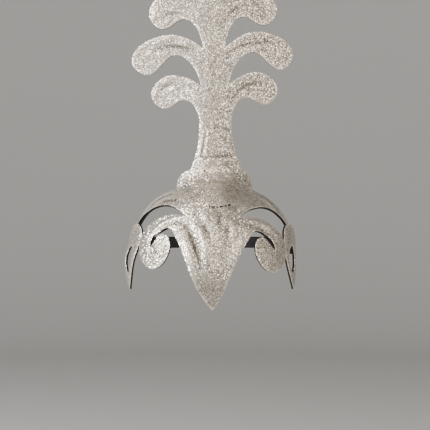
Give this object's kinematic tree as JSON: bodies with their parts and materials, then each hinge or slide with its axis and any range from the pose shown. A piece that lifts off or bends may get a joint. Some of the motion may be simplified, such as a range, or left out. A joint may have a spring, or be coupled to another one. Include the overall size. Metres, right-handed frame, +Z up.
{
  "type": "carnival headdress",
  "caption": "Glitter sheet headdress with a brow peak, curled scroll arms, side leaves and a tall frond crest on a stem.",
  "frame": {"origin": "seat on top of the head: the middle of the underside of the crown", "axes": "+Z up, -Y towards the front of the face, +X to the right of the picture"},
  "size_m": [0.1717, 0.1923, 0.3303],
  "materials": {
    "glitter_sheet": "fine silver glitter on a black sheet",
    "black_elastic": "matt woven elastic"
  },
  "bodies": {
    "root": {"crown_plate": "glitter_sheet", "crest_foot": "glitter_sheet", "crest": "glitter_sheet", "side_wing_left": "glitter_sheet", "side_wing_right": "glitter_sheet", "nape_strap": "black_elastic"}
  },
  "joints": []
}
